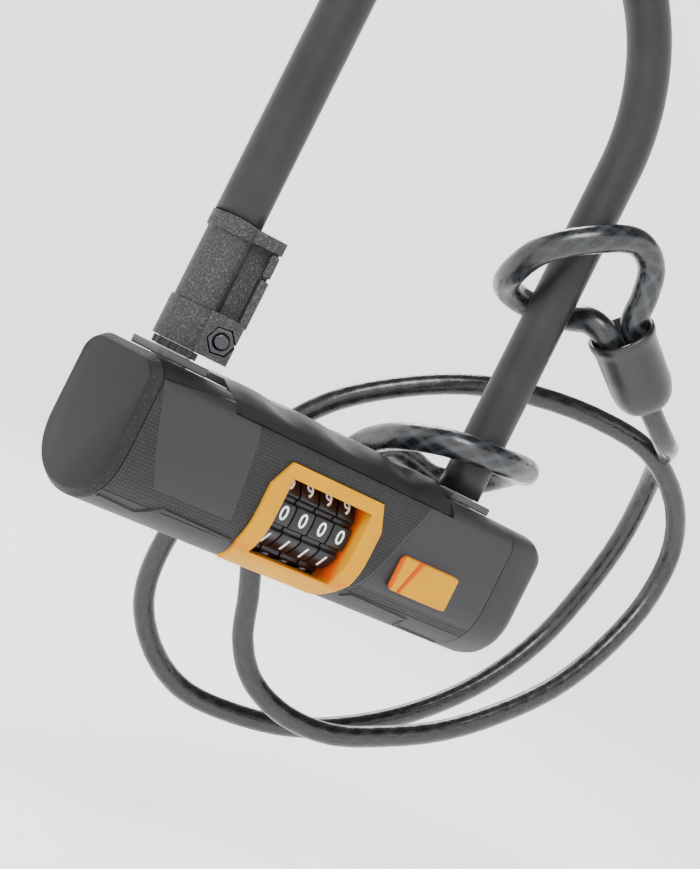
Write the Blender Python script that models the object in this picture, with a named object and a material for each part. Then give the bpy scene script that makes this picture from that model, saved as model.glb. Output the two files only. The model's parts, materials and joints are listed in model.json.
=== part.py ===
"""Bicycle U-lock with a four-dial combination crossbar, a bracket on one leg and a looped cable on the other."""
import math

import bmesh
import bpy
import numpy as np
from mathutils import Matrix, Vector

mm = 0.001

# Shackle: steel core in a vinyl sleeve, bent to a U in the XZ plane, leg axes at X = -leg_x and +leg_x.
leg_x = 69.6 * mm
core_r = 6.0 * mm
sleeve_wall = 2.0 * mm
sleeve_r = core_r + sleeve_wall
leg_bottom = -38.0 * mm
bend_start = 126.0 * mm
notch_z = -26.0 * mm
bolt_r = 3.5 * mm
notch_clear = 0.5 * mm
notch_height = 2 * (bolt_r + notch_clear)
notch_depth = 3.8 * mm

# Crossbar section: flat top, rounded shoulders, straight sides, round belly.
bar_half = 22.0 * mm
bar_top = -7.0 * mm
shoulder_z = -15.0 * mm
shoulder_y = 12.0 * mm
belly_z = -36.0 * mm
belly_depth = 21.0 * mm
wall = 2.4 * mm
bar_left = -(leg_x + 13.1 * mm)
bar_right = leg_x + 15.4 * mm
cap_left = bar_left - 3.9 * mm
cap_right = bar_right + 19.0 * mm
gap = 0.3 * mm
block_x = core_r + 5.0 * mm
block_y = core_r + 6.0 * mm

# Dials: four wheels on one axis along X.
dial_x = -3.0 * mm
dial_y = -2.9 * mm
dial_z = -34.5 * mm
dial_r = 16.5 * mm
dial_pitch = 8.8 * mm
dial_width = 8.2 * mm
spindle_r = 2.5 * mm
clutch_r = 8.1 * mm
stack = 1.5 * dial_pitch + dial_width / 2
dial_top = dial_z + dial_r
dial_low = dial_z - dial_r

# Release: button, link and bolts.
bolt_tip = leg_x - core_r - 0.6 * mm
link_x = leg_x - 23.6 * mm
pinion_x = link_x - 12.0 * mm
pinion_r = 5.0 * mm
rack_y = bar_half - wall - 1.8 * mm
rack_thick = 3.0 * mm
rack_tall = 4.0 * mm

# Bracket clamped on the left leg, turned about it.
bracket_turn = math.radians(-25.0)

# Cable.
cable_r = 4.2 * mm
loop_r = 5.0 * mm
strand_gap = 5.2 * mm
ferrule_length = 33.0 * mm
# Each ferrule as its mouth and its tail, and the routes' points, all in millimetres and set by hand.
ferrule_a = ((48.0, 36.5, -14.0), (42.0, 50.0, -43.5))
ferrule_b = ((95.0, -12.5, 75.0), (122.3, -16.6, 56.9))
loop_a_route = [
    (45, 30, -3), (43, 20, 2), (42, 8, 6), (46, -6, 10), (54, -14, 12), (66, -17, 13), (80, -13, 14), (91, -5, 14),
    (98, 6, 13), (102, 18, 8), (100, 29, 1), (90, 36, -3), (78, 38, -1), (67, 38, 0), (58, 37, -3),
]
loop_b_route = [
    (87, -4, 74), (85, 5, 72), (75, 16, 70), (61, 16, 71), (51, 6, 76), (48, -6, 86), (60, -17, 98),
    (75, -19, 104), (87, -19, 100), (92, -18, 90),
]
cable_route = [
    (42, 55, -56), (50, 55, -74), (57, 55, -90), (66, 51, -102), (80, 43, -109), (98, 33, -109),
    (117, 24, -101), (136, 16, -90), (156, 10, -74), (176, 7, -55), (193, 7, -32), (204, 8, -8), (205, 9, 15),
    (189, 7, 33), (165, 10, 45), (144, 20, 47), (120, 34, 44), (97, 48, 36), (75, 61, 22), (57, 72, 5),
    (43, 80, -18), (34, 87, -44), (31, 92, -70), (35, 93, -94), (47, 89, -111), (64, 83, -121), (86, 74, -122),
    (110, 63, -117), (134, 54, -105), (157, 47, -88), (178, 43, -67), (194, 41, -43), (202, 38, -15),
    (202, 33, 10), (194, 26, 32), (182, 17, 44), (161, -2, 48), (141, -16, 48),
]

for old in list(bpy.data.objects):
    bpy.data.objects.remove(old, do_unlink=True)
part = bpy.data.collections.new("u_lock")
cutters = bpy.data.collections.new("cutters")
for c in (part, cutters):
    bpy.context.scene.collection.children.link(c)


def paint(name, rgb, rough, metal=0.0):
    m = bpy.data.materials.new(name)
    m.use_nodes = True
    b = m.node_tree.nodes["Principled BSDF"]
    b.inputs["Base Color"].default_value = (*rgb, 1.0)
    b.inputs["Roughness"].default_value = rough
    b.inputs["Metallic"].default_value = metal
    return m


def put(name, data, colour=None, parent=None, cutter=False):
    o = bpy.data.objects.new(name, data)
    (cutters if cutter else part).objects.link(o)
    if cutter:
        o.hide_render = True
        o.display_type = "WIRE"
    else:
        data.materials.append(paint(name, *colour))
    if parent:
        o.parent = parent
    return o


def solid(name, verts, faces, colour=None, parent=None, cutter=False):
    me = bpy.data.meshes.new(name)
    me.from_pydata([tuple(v) for v in verts], [], faces)
    bm = bmesh.new()
    bm.from_mesh(me)
    bmesh.ops.remove_doubles(bm, verts=bm.verts, dist=1e-6)
    bmesh.ops.recalc_face_normals(bm, faces=bm.faces)
    bm.to_mesh(me)
    bm.free()
    return put(name, me, colour, parent, cutter)


def along(axis, a, b, c):
    """A point at a along the named axis, with b and c along the other two in X, Y, Z order."""
    return {"x": (a, b, c), "y": (b, a, c), "z": (b, c, a)}[axis]


def prism(name, outline, lo, hi, axis, *rest, **kw):
    n = len(outline)
    verts = [along(axis, lo, *p) for p in outline] + [along(axis, hi, *p) for p in outline]
    faces = [tuple(range(n)), tuple(range(n, 2 * n))]
    faces += [(i, (i + 1) % n, n + (i + 1) % n, n + i) for i in range(n)]
    return solid(name, verts, faces, *rest, **kw)


def box(name, lo, hi, *rest, **kw):
    outline = [(lo[1], lo[2]), (hi[1], lo[2]), (hi[1], hi[2]), (lo[1], hi[2])]
    return prism(name, outline, lo[0], hi[0], "x", *rest, **kw)


def circle(r, n, b=0.0, c=0.0, turn=0.0):
    return [(b + r * math.cos(turn + 2 * math.pi * i / n), c + r * math.sin(turn + 2 * math.pi * i / n))
            for i in range(n)]


def tube(name, outer, inner, lo, hi, axis, *rest, **kw):
    """A straight tube between two outlines of any counts of points, nested one in the other."""
    n, m = len(outer), len(inner)
    verts = [along(axis, a, *p) for a in (lo, hi) for p in outer]
    verts += [along(axis, a, *p) for a in (lo, hi) for p in inner]
    faces = [(i, (i + 1) % n, n + (i + 1) % n, n + i) for i in range(n)]
    faces += [(2 * n + i, 2 * n + (i + 1) % m, 2 * n + m + (i + 1) % m, 2 * n + m + i) for i in range(m)]
    me = bpy.data.meshes.new(name)
    me.from_pydata(verts, [], faces)
    bm = bmesh.new()
    bm.from_mesh(me)
    bm.verts.ensure_lookup_table()
    for o, i in ((0, 2 * n), (n, 2 * n + m)):
        ring = [bm.edges.get((bm.verts[o + k], bm.verts[o + (k + 1) % n])) for k in range(n)]
        ring += [bm.edges.get((bm.verts[i + k], bm.verts[i + (k + 1) % m])) for k in range(m)]
        bmesh.ops.triangle_fill(bm, edges=ring, use_beauty=True)
    bmesh.ops.recalc_face_normals(bm, faces=bm.faces)
    bm.to_mesh(me)
    bm.free()
    return put(name, me, *rest, **kw)


def turned(name, profile, n, *rest, **kw):
    """A closed profile of (radius, height) turned about local Z. A radius of zero closes on the axis."""
    verts, rows = [], []
    for r, z in profile:
        row = []
        for i in range(n if r > 0 else 1):
            a = 2 * math.pi * i / n
            row.append(len(verts))
            verts.append((r * math.cos(a), r * math.sin(a), z))
        rows.append(row)
    faces = []
    for a, b in zip(rows, rows[1:] + rows[:1]):
        if len(a) == len(b) == 1:
            continue
        for i in range(n):
            j = (i + 1) % n
            f = [a[i % len(a)], a[j % len(a)], b[j % len(b)], b[i % len(b)]]
            faces.append(tuple(dict.fromkeys(f)))
    return solid(name, verts, faces, *rest, **kw)


def loft(name, rings, *rest, **kw):
    """Skins rings of equal counts in turn, with flat ends."""
    n = len(rings[0])
    verts = [p for ring in rings for p in ring]
    faces = [tuple(range(n)), tuple(range(n * (len(rings) - 1), n * len(rings)))]
    for k in range(len(rings) - 1):
        a = k * n
        faces += [(a + i, a + (i + 1) % n, a + n + (i + 1) % n, a + n + i) for i in range(n)]
    return solid(name, verts, faces, *rest, **kw)


def combine(target, other, how):
    m = target.modifiers.new(other.name, "BOOLEAN")
    m.operation = how
    m.solver = "EXACT"
    m.object = other
    return target


def section(inset, start=0.0, steps=(6, 12)):
    """Front half of the crossbar section as (y, z), from the top's middle to the belly's lowest point."""
    pts = []
    for i in range(steps[0] + 1):
        t = math.pi / 2 * i / steps[0]
        pts.append((-shoulder_y - (bar_half - shoulder_y - inset) * math.sin(t),
                    shoulder_z + (bar_top - shoulder_z - inset) * math.cos(t)))
    for i in range(steps[1] + 1):
        t = math.pi / 2 * i / steps[1]
        pts.append((-(bar_half - inset) * math.cos(t) ** (2 / 2.25),
                    belly_z - (belly_depth - inset) * math.sin(t) ** (2 / 2.25)))
    return pts


def whole(inset):
    """The full crossbar outline as (y, z)."""
    half = section(inset)
    return half + [(-y, z) for y, z in reversed(half[:-1])]


def smooth(points, step, count=40):
    """Points at an even step along a curve through the given ones."""
    p = np.array(points, float) * mm
    p = np.vstack([2 * p[0] - p[1], p, 2 * p[-1] - p[-2]])
    out = []
    for a, b, c, d in zip(p, p[1:], p[2:], p[3:]):
        t = np.cumsum([0] + [np.linalg.norm(v) ** 0.5 for v in (b - a, c - b, d - c)])
        for x in np.linspace(t[1], t[2], count, endpoint=False):
            u = [(t[i + 1] - x) / (t[i + 1] - t[i]) for i in range(3)]
            l1, l2, l3 = (u[i] * q + (1 - u[i]) * r for i, (q, r) in enumerate(((a, b), (b, c), (c, d))))
            w1, w2 = (t[2] - x) / (t[2] - t[0]), (t[3] - x) / (t[3] - t[1])
            m1, m2 = w1 * l1 + (1 - w1) * l2, w2 * l2 + (1 - w2) * l3
            out.append(u[1] * m1 + (1 - u[1]) * m2)
    out = np.array(out + [p[-2]])
    run = np.r_[0, np.cumsum(np.linalg.norm(np.diff(out, axis=0), axis=1))]
    n = max(2, round(run[-1] / step))
    return [[np.interp(s, run, out[:, k]) for k in range(3)] for s in np.linspace(0, run[-1], n + 1)]


def wire(name, points, radius, colour, resolution=2):
    cu = bpy.data.curves.new(name, "CURVE")
    cu.dimensions = "3D"
    cu.bevel_depth = radius
    cu.bevel_resolution = resolution
    cu.use_fill_caps = True
    sp = cu.splines.new("POLY")
    sp.points.add(len(points) - 1)
    for q, p in zip(sp.points, points):
        q.co = (*p, 1.0)
    return put(name, cu, colour)


def socket(mouth, tail, side, depth):
    """A point in a ferrule at a depth from its mouth, off its axis by one strand gap."""
    m, t = Vector(mouth), Vector(tail)
    back = (t - m).normalized()
    across = back.cross(Vector((0, 1, 0.6)).normalized()).normalized()
    return tuple(m + back * depth / mm + across * side * strand_gap / mm)


black = (0.02, 0.02, 0.022)
vinyl = (0.035, 0.036, 0.038)
steel = (0.62, 0.62, 0.63)
zinc = (0.45, 0.45, 0.46)
orange = (0.95, 0.42, 0.02)

# Shackle -----------------------------------------------------------------------------------------
def u_path(left, right, steps=24):
    pts = [(-leg_x, left)]
    pts += [(-leg_x * math.cos(math.pi * i / steps), bend_start + leg_x * math.sin(math.pi * i / steps))
            for i in range(steps + 1)]
    return pts + [(leg_x, right)]


def bent(name, path, r, n, colour, hole=None, tip=0.0):
    """A round bar along a path in XZ, hollow if a hole radius is given, with its tips drawn in."""
    rings = []
    for k, (x, z) in enumerate(path):
        a, b = path[max(k - 1, 0)], path[min(k + 1, len(path) - 1)]
        d = Vector((b[0] - a[0], 0, b[1] - a[1])).normalized()
        side = Vector((0, 1, 0)).cross(d)
        rings.append([Vector((x, 0, z)) + side * r * math.cos(t) + Vector((0, r * math.sin(t), 0))
                      for t in (2 * math.pi * i / n for i in range(n))])
    if tip:
        for end, inward in ((0, 1), (-1, -1)):
            c = Vector((path[end][0], 0, path[end][1]))
            small = [c + (p - c) * 0.8 for p in rings[end]]
            rings[end] = [p + Vector((0, 0, tip)) for p in rings[end]]
            rings.insert(0 if end == 0 else len(rings), small)
    if hole is None:
        return loft(name, rings, colour)
    inner = []
    for k, (x, z) in enumerate(path):
        c = Vector((x, 0, z))
        inner.append([c + (p - c) * hole / r for p in rings[k]])
    n_rings = len(rings)
    verts = [p for ring in rings + inner for p in ring]
    faces = []
    for base in (0, n_rings * n):
        for k in range(n_rings - 1):
            a = base + k * n
            faces += [(a + i, a + (i + 1) % n, a + n + (i + 1) % n, a + n + i) for i in range(n)]
    for k in (0, n_rings - 1):
        a, b = k * n, (n_rings + k) * n
        faces += [(a + i, a + (i + 1) % n, b + (i + 1) % n, b + i) for i in range(n)]
    return solid(name, verts, faces, colour)


core = bent("shackle_core", u_path(leg_bottom, leg_bottom), core_r, 20, (steel, 0.3, 1.0), tip=1.2 * mm)
for side in (-1, 1):
    inner_face = side * (leg_x - core_r)
    lo, hi = sorted((inner_face - side * mm, inner_face + side * notch_depth))
    cut = box(f"cut_notch_{'l' if side < 0 else 'r'}", (lo, -8 * mm, notch_z - notch_height / 2),
              (hi, 8 * mm, notch_z + notch_height / 2), cutter=True)
    combine(core, cut, "DIFFERENCE")
bent("shackle_sleeve", u_path(41.8 * mm, -3.7 * mm), sleeve_r, 24, (vinyl, 0.5), hole=core_r + gap)

# A ribbed ring on the bare leg between bracket and crossbar.
ribs = []
for i in range(12):
    for da, rise in ((-9, 0.9), (-3, 0.9), (0, 1.6), (9, 1.6), (12, 0.9)):
        a = math.radians(30 * i + da)
        r = core_r + rise * mm
        ribs.append((-leg_x + r * math.cos(a), r * math.sin(a)))
tube("leg_ring", ribs, circle(core_r + gap, 24, -leg_x), -3.6 * mm, -1.2 * mm, "z", (black, 0.6))

# Bracket -----------------------------------------------------------------------------------------
arm = bpy.data.objects.new("bracket_axis", None)
part.objects.link(arm)
arm.location = (-leg_x, 0, 0)
arm.rotation_euler = (0, 0, bracket_turn)


def b3(*v):
    return tuple(x * mm for x in v)


def b3_core(x, y, z):  # x measured out from the core's surface
    return (core_r + x * mm, y * mm, z * mm)


bore_r = core_r + gap
thin, thick = core_r + 1.6 * mm, core_r + 2.4 * mm
clamp = turned("bracket_sleeve", [(bore_r, -1 * mm), (thick, -1 * mm), (thick, 12.4 * mm), (thin, 12.9 * mm),
                                  (thin, 36 * mm), (thick, 36.5 * mm), (thick, 41.5 * mm), (bore_r, 41.5 * mm)],
               32, (black, 0.6), arm)
blocks = {
    "add_clamp_block": (b3_core(-2, -7.6, -0.95), b3_core(9.6, 7.6, 13)),
    "add_outer_wall": (b3_core(7.6, -6.2, 12), b3_core(10.4, 5.0, 28)),
    "add_web": (b3_core(0.8, -1.6, 12), b3_core(7.9, 5.0, 40)),
    "add_upper_wall": (b3_core(7.0, -1.2, 27), b3_core(10.4, 5.0, 40)),
    "add_top": (b3_core(-2, -5.6, 37.2), b3_core(10.4, 5.0, 41.45)),
}
for name, (lo, hi) in blocks.items():
    combine(clamp, box(name, lo, hi, parent=arm, cutter=True), "UNION")
bore = prism("cut_leg_bore", circle(bore_r, 32), -2 * mm, 43 * mm, "z", parent=arm, cutter=True)
combine(clamp, bore, "DIFFERENCE")
nut_x, nut_z, nut_r = core_r + 4.9 * mm, 5.4 * mm, 4.62 * mm
pocket = prism("cut_nut_pocket", circle(nut_r + gap, 6, nut_x, nut_z, math.radians(8)), -9 * mm, -4.2 * mm, "y",
               parent=arm, cutter=True)
combine(clamp, pocket, "DIFFERENCE")
hole = prism("cut_bolt_hole", circle(2.8 * mm, 20, nut_x, nut_z), -6 * mm, 9 * mm, "y", parent=arm, cutter=True)
combine(clamp, hole, "DIFFERENCE")
tube("bracket_nut", circle(nut_r, 6, nut_x, nut_z, math.radians(8)), circle(2.6 * mm, 20, nut_x, nut_z),
     -7.5 * mm, -4.5 * mm, "y", (steel, 0.3, 1.0), arm)
clamp_bolt = turned("bracket_bolt", [(0, -8.6 * mm), (2.0 * mm, -8.6 * mm), (2.5 * mm, -8.1 * mm), (2.5 * mm, 7.9 * mm),
                                     (4.3 * mm, 7.9 * mm), (4.3 * mm, 10.4 * mm), (3.9 * mm, 10.9 * mm),
                                     (0, 10.9 * mm)], 20, (steel, 0.3, 1.0), arm)
clamp_bolt.location = (nut_x, 0, nut_z)
clamp_bolt.rotation_euler = (-math.pi / 2, 0, 0)
tongue = [(7.3, 29.2), (10.2, 29.2), (10.2, 36.0), (9.4, 36.8), (7.9, 36.8), (7.3, 36.2)]
prism("bracket_latch", [(core_r + x * mm, z * mm) for x, z in tongue], -6.0 * mm, -3.2 * mm, "y", (black, 0.55), arm)

# Crossbar shells ---------------------------------------------------------------------------------
outer, inner = section(0), section(wall)
shoulder_n = 7
belly_cut = 5
front_outer = [(-10.8 * mm, bar_top)] + outer[:shoulder_n + 1 + belly_cut]
front_inner = [(-10.8 * mm, bar_top - wall)] + inner[:shoulder_n + 1 + belly_cut]
front = prism("front_cover", front_outer + front_inner[::-1], bar_left, bar_right, "x", (black, 0.55))


def gap_point(pts, k):
    a, b = Vector((*pts[k], 0)), Vector((*pts[k + 1], 0))
    p = a + (b - a).normalized() * gap
    return (p.x, p.y)


cut_at = shoulder_n + belly_cut
back_outer = [gap_point(outer, cut_at)] + outer[cut_at + 1:]
back_outer += [(-y, z) for y, z in reversed(outer[:-1])] + [(-10.5 * mm, bar_top)]
back_inner = [gap_point(inner, cut_at)] + inner[cut_at + 1:]
back_inner += [(-y, z) for y, z in reversed(inner[:-1])] + [(-10.5 * mm, bar_top - wall)]
shell = prism("rear_shell", back_outer + back_inner[::-1], bar_left, bar_right, "x", (black, 0.5))
for side in (-1, 1):
    hole = prism(f"cut_leg_hole_{'l' if side < 0 else 'r'}", circle(core_r + 1.4 * mm, 28, side * leg_x), -12 * mm, -5 * mm,
                 "z", cutter=True)
    combine(shell, hole, "DIFFERENCE")

# The front shoulder is cut away between the legs for the saddle.
saddle_left, saddle_right = -(leg_x - 16.9 * mm), leg_x - 17.9 * mm
recess = box("cut_saddle_recess", (saddle_left - gap, -(bar_half + 2 * mm), -12.2 * mm),
             (saddle_right + gap, -5 * mm, 2 * mm), cutter=True)
combine(front, recess, "DIFFERENCE")

# Dial window and its frame.
def octagon(grow):
    narrow, low, wide = (stack + (v + grow * k) * mm for v, k in ((4.0, 0.6), (4.2, 0.6), (8.7, 1.0)))
    top, bottom = dial_top + grow * mm, dial_low - (5.6 + grow) * mm
    high, deep = dial_z + (7.5 + grow * 0.4) * mm, dial_z - (13.5 + grow * 0.4) * mm
    pts = [(-narrow, top), (narrow, top), (wide, high), (wide, deep), (low, bottom), (-low, bottom), (-wide, deep),
           (-wide, high)]
    return [(dial_x + x, z) for x, z in pts]


for target, tag in ((front, "f"), (shell, "r")):
    opening = prism(f"cut_window_{tag}", octagon(0.3), -(bar_half + 8 * mm), -8.7 * mm, "y", cutter=True)
    combine(target, opening, "DIFFERENCE")
bezel = prism("dial_frame", octagon(0), -(bar_half + 4 * mm), -9 * mm, "y", (orange, 0.35))
skin = prism("keep_frame_skin", whole(-0.9 * mm), -45 * mm, 45 * mm, "x", cutter=True)
combine(bezel, skin, "INTERSECT")
window_x = stack + 1.3 * mm
window = box("cut_frame_window", (dial_x - window_x, -(bar_half + 8 * mm), dial_low + 0.7 * mm),
             (dial_x + window_x, -5 * mm, dial_top - 4.8 * mm), cutter=True)
combine(bezel, window, "DIFFERENCE")
sweep = prism("cut_frame_dials", circle(dial_r + 0.6 * mm, 48, dial_y, dial_z), dial_x - window_x,
              dial_x + window_x, "x", cutter=True)
combine(bezel, sweep, "DIFFERENCE")

# Saddle: a raised rail on top between the legs, scalloped along its length.
def saddle_ring(x):
    rise = 1.5 * abs(math.sin(math.pi * (x - saddle_left + 3.3 * mm) / (28.5 * mm)))
    stretch = (bar_half - shoulder_y) / (10 * mm)
    top = -4.6 + rise
    pts = [(11.5, -6.7), (11.5, -5.4), (9.5, top - 0.4), (-7.5, top - 0.2), (-12.2, top - 2.4), (-17.0, -8.0),
           (-20.5, -11.9), (-18.3, -11.9), (-15.6, -9.7), (-12.2, -9.0), (-10.9, -6.7)]
    return [(x, (max(y, -12) + min(y + 12, 0) * stretch) * mm, z * mm) for y, z in pts]


loft("saddle", [saddle_ring(x) for x in np.linspace(saddle_left, saddle_right, 23)], (black, 0.6))

# Collars round the leg holes.
for side, name in ((-1, "collar_left"), (1, "collar_right")):
    x0 = side * leg_x
    corner = [(4.4, 2.0), (2.4, 4.0)]
    half = [(x0 + core_r + a * mm, core_r + b * mm) for a, b in corner]
    half += [(x0 - core_r - a * mm, core_r + b * mm) for a, b in corner[::-1]]
    plate = half + [(x, -y) for x, y in half[::-1]]
    tube(name, plate, circle(core_r + 0.8 * mm, 28, x0), bar_top + gap, -4.0 * mm, "z", (black, 0.6))

# End caps.
def cap_ring(x, inset):
    return [(x, y, z) for y, z in whole(inset * mm)]


loft("end_cap_left", [cap_ring(bar_left - gap, 0), cap_ring(bar_left - 1.0 * mm, 0), cap_ring(cap_left + 0.5 * mm, 1.7),
                      cap_ring(cap_left, 2.3)], (black, 0.7))
shell_rings = [cap_ring(bar_right + gap, 0)]
shell_rings += [cap_ring(cap_right - back * mm, inset)
                for back, inset in ((5.6, 0), (3.4, 0.45), (1.6, 1.5), (0.5, 3.0), (0, 5.0))]
cap = loft("end_cap_right", shell_rings, (black, 0.55))
cap_wall = wall / mm
hollow = loft("cut_cap_hollow", [cap_ring(bar_right - 1.0 * mm, cap_wall), cap_ring(cap_right - 5.4 * mm, cap_wall),
                                 cap_ring(cap_right - 2.6 * mm, cap_wall + 2.8)], cutter=True)
combine(cap, hollow, "DIFFERENCE")

# Lock blocks round the leg tips.
for side, name in ((-1, "lock_block_left"), (1, "lock_block_right")):
    x0 = side * leg_x
    block = box(name, (x0 - block_x, -block_y, leg_bottom - 8 * mm), (x0 + block_x, block_y, bar_top - 3.2 * mm),
                (zinc, 0.5, 0.8))
    combine(block, prism(f"cut_{name}_leg", circle(core_r + gap, 28, x0), leg_bottom - 0.6 * mm, -9 * mm, "z",
                         cutter=True),
            "DIFFERENCE")
    lo, hi = sorted((side * (leg_x - block_x - 1.6 * mm), side * (leg_x - 3.6 * mm)))
    combine(block, prism(f"cut_{name}_bolt", circle(bolt_r + gap, 24, 0, notch_z), lo, hi, "x", cutter=True),
            "DIFFERENCE")

# Chassis: base with two cheeks that carry the spindle.
cheek_in, cheek_out = stack + 2.1 * mm, stack + 4.1 * mm
chassis_z = belly_z - belly_depth + wall + 1.3 * mm  # the base stands on the shell's floor
chassis = box("dial_chassis", (dial_x - cheek_out, dial_y - 2.1 * mm, chassis_z),
              (dial_x + cheek_out, dial_y + 7.9 * mm, chassis_z + 1.4 * mm), (zinc, 0.5, 0.8))
for name, a, b in (("add_cheek_l", -cheek_out, -cheek_in), ("add_cheek_r", cheek_in, cheek_out)):
    combine(chassis, box(name, (dial_x + a, dial_y - 5.3 * mm, chassis_z + 1.0 * mm),
                         (dial_x + b, dial_y + 11.5 * mm, dial_top), cutter=True), "UNION")
combine(chassis, prism("cut_spindle_hole", circle(spindle_r + gap, 24, dial_y, dial_z), -30 * mm, 30 * mm, "x",
                       cutter=True), "DIFFERENCE")

# Detent comb over the dials.
finger = dial_width / 2 - 0.9 * mm
root, point, back = dial_y + 5.9 * mm, dial_y - 4.1 * mm, dial_y + 11.9 * mm
comb = [(dial_x - stack, back), (dial_x + stack, back)]
for i in (3, 2, 1, 0):
    x = dial_x + (i - 1.5) * dial_pitch
    comb += [(x + finger, root), (x + finger, point), (x - finger, point), (x - finger, root)]
prism("detent_comb", comb, dial_top + 0.4 * mm, dial_top + 1.0 * mm, "z", (steel, 0.35, 1.0))

# Dials and clutch sleeves.
for i in range(4):
    x = dial_x + (i - 1.5) * dial_pitch
    rim = []
    for k in range(10):
        for da, r in ((-13, dial_r), (-6.5, dial_r), (0, dial_r), (6.5, dial_r), (13, dial_r), (15.5, dial_r - 1.5 * mm),
                      (20.5, dial_r - 1.5 * mm)):
            a = math.radians(36 * k + 180 + da)
            rim.append((r * math.cos(a), r * math.sin(a)))
    d = tube(f"dial_{i + 1}", rim, circle(clutch_r + gap, 28), -dial_width / 2, dial_width / 2, "x", (black, 0.4))
    d.location = (x, dial_y, dial_z)
    key = circle(spindle_r + gap, 20)
    s = tube(f"clutch_{i + 1}", circle(clutch_r, 28), key, -dial_width / 2 + 0.2 * mm, dial_width / 2 - 0.2 * mm, "x",
             (zinc, 0.45, 0.9))
    s.location = (x, dial_y, dial_z)

# Slider: button outside, link, spindle and right bolt inside.
slot_cut = box("cut_button_slot", (link_x + 3.5 * mm, -(bar_half + 2 * mm), -39.6 * mm),
               (link_x + 17 * mm, -(bar_half - 5 * mm), -33.4 * mm), cutter=True)
combine(front, slot_cut, "DIFFERENCE")
face = [(-9.2, 0.3), (-9.2, 1.2), (-8.0, 2.0), (-3.6, 2.0), (-2.0, 0.9), (1.2, 2.0), (19.0, 2.0), (20.0, 1.4),
        (20.0, 0.3)]
prism("release_button", [(link_x + x * mm, -(bar_half + y * mm)) for x, y in face], -43.4 * mm, -30.4 * mm, "z",
      (orange, 0.35))
rack_in = rack_y - rack_thick
low_rack, high_rack = notch_z - pinion_r - gap, notch_z + pinion_r + gap
link_front = -(bar_half - wall - 3.6 * mm)
link = box("slider_link", (link_x, link_front, -40 * mm), (link_x + 3 * mm, rack_y, -20 * mm), (zinc, 0.5, 0.8))
for name, lo, hi in (("add_link_arm", (2 * mm, link_front, -38.8 * mm), (12 * mm, -(block_y + 1.2 * mm), -34.2 * mm)),
                     ("add_link_stem", (4.2 * mm, -bar_half, -38.5 * mm), (11.7 * mm, link_front + 2 * mm, -34.5 * mm)),
                     ("add_link_rack", (-20 * mm, rack_in, low_rack - rack_tall), (1 * mm, rack_y, low_rack))):
    ends = [(link_x + p[0], p[1], p[2]) for p in (lo, hi)]
    combine(link, box(name, *ends, cutter=True), "UNION")
prism("spindle", circle(spindle_r, 20, dial_y, dial_z), -30 * mm, link_x - gap, "x", (steel, 0.3, 1.0))
prism("lock_bolt_right", circle(bolt_r, 24, 0, notch_z), link_x + 3.3 * mm, bolt_tip, "x", (steel, 0.3, 1.0))

# Left bolt on its own rack bar, reversed by the pinion.
rack_top = high_rack + rack_tall
bar = prism("lock_bolt_left", circle(bolt_r, 24, 0, notch_z), -bolt_tip, -(link_x + 3.5 * mm), "x", (steel, 0.35, 1.0))
combine(bar, box("add_bolt_arm", (-(link_x + 4 * mm), -(bolt_r + 1 * mm), notch_z - bolt_r - 1 * mm),
                 (-(link_x + 1 * mm), rack_y, rack_top), cutter=True), "UNION")
combine(bar, box("add_bolt_rack", (-(link_x + 2 * mm), rack_in, high_rack), (link_x - 4 * mm, rack_y, rack_top),
                 cutter=True), "UNION")
tube("reversing_pinion", circle(pinion_r, 28, pinion_x, notch_z), circle(1.58 * mm, 20, pinion_x, notch_z),
     rack_in + 0.2 * mm, rack_y - 0.2 * mm, "y", (zinc, 0.45, 0.9))
prism("pinion_pin", circle(1.5 * mm, 20, pinion_x, notch_z), rack_in - 0.6 * mm, rack_y + 1.4 * mm, "y",
      (steel, 0.3, 1.0))

# Screws through the rear shell into the lock blocks.
for side, name in ((-1, "rear_screw_left"), (1, "rear_screw_right")):
    x0 = side * leg_x
    seat = prism(f"cut_{name}", circle(3.2 * mm, 20, x0, -28 * mm), bar_half - 1.4 * mm, bar_half + 2 * mm, "y",
                 cutter=True)
    combine(shell, seat, "DIFFERENCE")
    way = prism(f"cut_{name}_way", circle(1.9 * mm, 16, x0, -28 * mm), bar_half - 4 * mm, bar_half, "y",
                cutter=True)
    combine(shell, way, "DIFFERENCE")
    seat_y = block_y + gap
    head, crown = bar_half - 1.1 * mm - seat_y, bar_half - seat_y
    screw = turned(name, [(0, 0), (1.5 * mm, 0), (1.5 * mm, head), (2.8 * mm, head), (2.8 * mm, crown), (0, crown)], 16,
                   (steel, 0.3, 1.0))
    screw.location = (x0, seat_y, -28 * mm)
    screw.rotation_euler = (-math.pi / 2, 0, 0)

# Cable: two loops and the free run between the ferrules -------------------------------------------
def ferrule(name, mouth, tail):
    strands, n = strand_gap + loop_r, ferrule_length
    profile = [(strands + 2.4 * mm, 0), (strands + 2.4 * mm, 2.5 * mm), (strands + 1.6 * mm, 6 * mm),
               (strands + 1.4 * mm, n - 10 * mm), (strands + 0.2 * mm, n - 4 * mm), (cable_r + 4.0 * mm, n - 1 * mm),
               (cable_r + 2.2 * mm, n), (cable_r + gap, n), (cable_r + gap, n - 9 * mm), (0, n - 9 * mm),
               (0, 10 * mm), (strands + 0.5 * mm, 10 * mm), (strands + 0.5 * mm, 0)]
    f = turned(name, profile, 32, (vinyl, 0.4))
    back = (Vector(tail) - Vector(mouth)).normalized()
    f.rotation_mode = "QUATERNION"
    f.rotation_quaternion = back.to_track_quat("Z", "Y")
    f.location = Vector(mouth) * mm
    return back


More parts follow.
